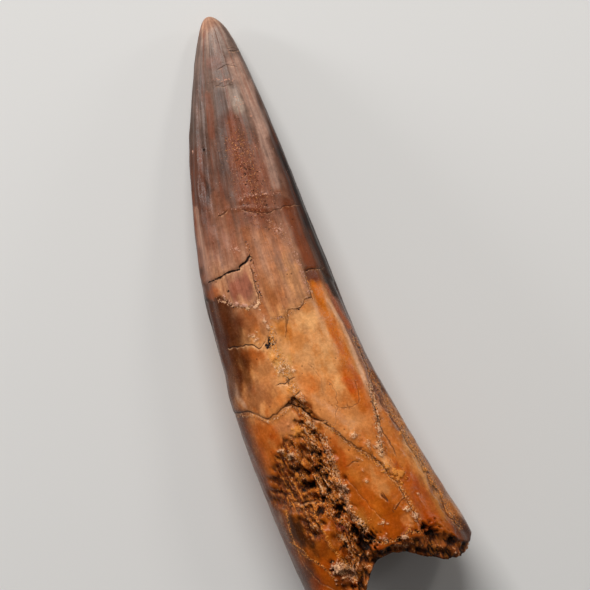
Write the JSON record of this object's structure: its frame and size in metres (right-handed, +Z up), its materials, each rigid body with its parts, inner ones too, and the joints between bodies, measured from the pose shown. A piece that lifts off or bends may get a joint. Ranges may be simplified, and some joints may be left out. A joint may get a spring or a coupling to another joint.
{
  "type": "dinosaur tooth fossil",
  "caption": "Curved fossil dinosaur tooth crown with a cracked, eroded lower face and a broken root that opens into the pulp cavity, lying on its flatter side.",
  "frame": {"origin": "middle of the foot of the tooth's box, on the surface that it lies on", "axes": "+Y from the broken root towards the tip, +X towards the hollow edge of the curve, +Z up out of the face"},
  "size_m": [0.0322, 0.1038, 0.0237],
  "materials": {
    "fossil_enamel": "glossy, cracked, orange-brown to purple-brown"
  },
  "bodies": {
    "root": {"tooth": "fossil_enamel"}
  },
  "joints": []
}
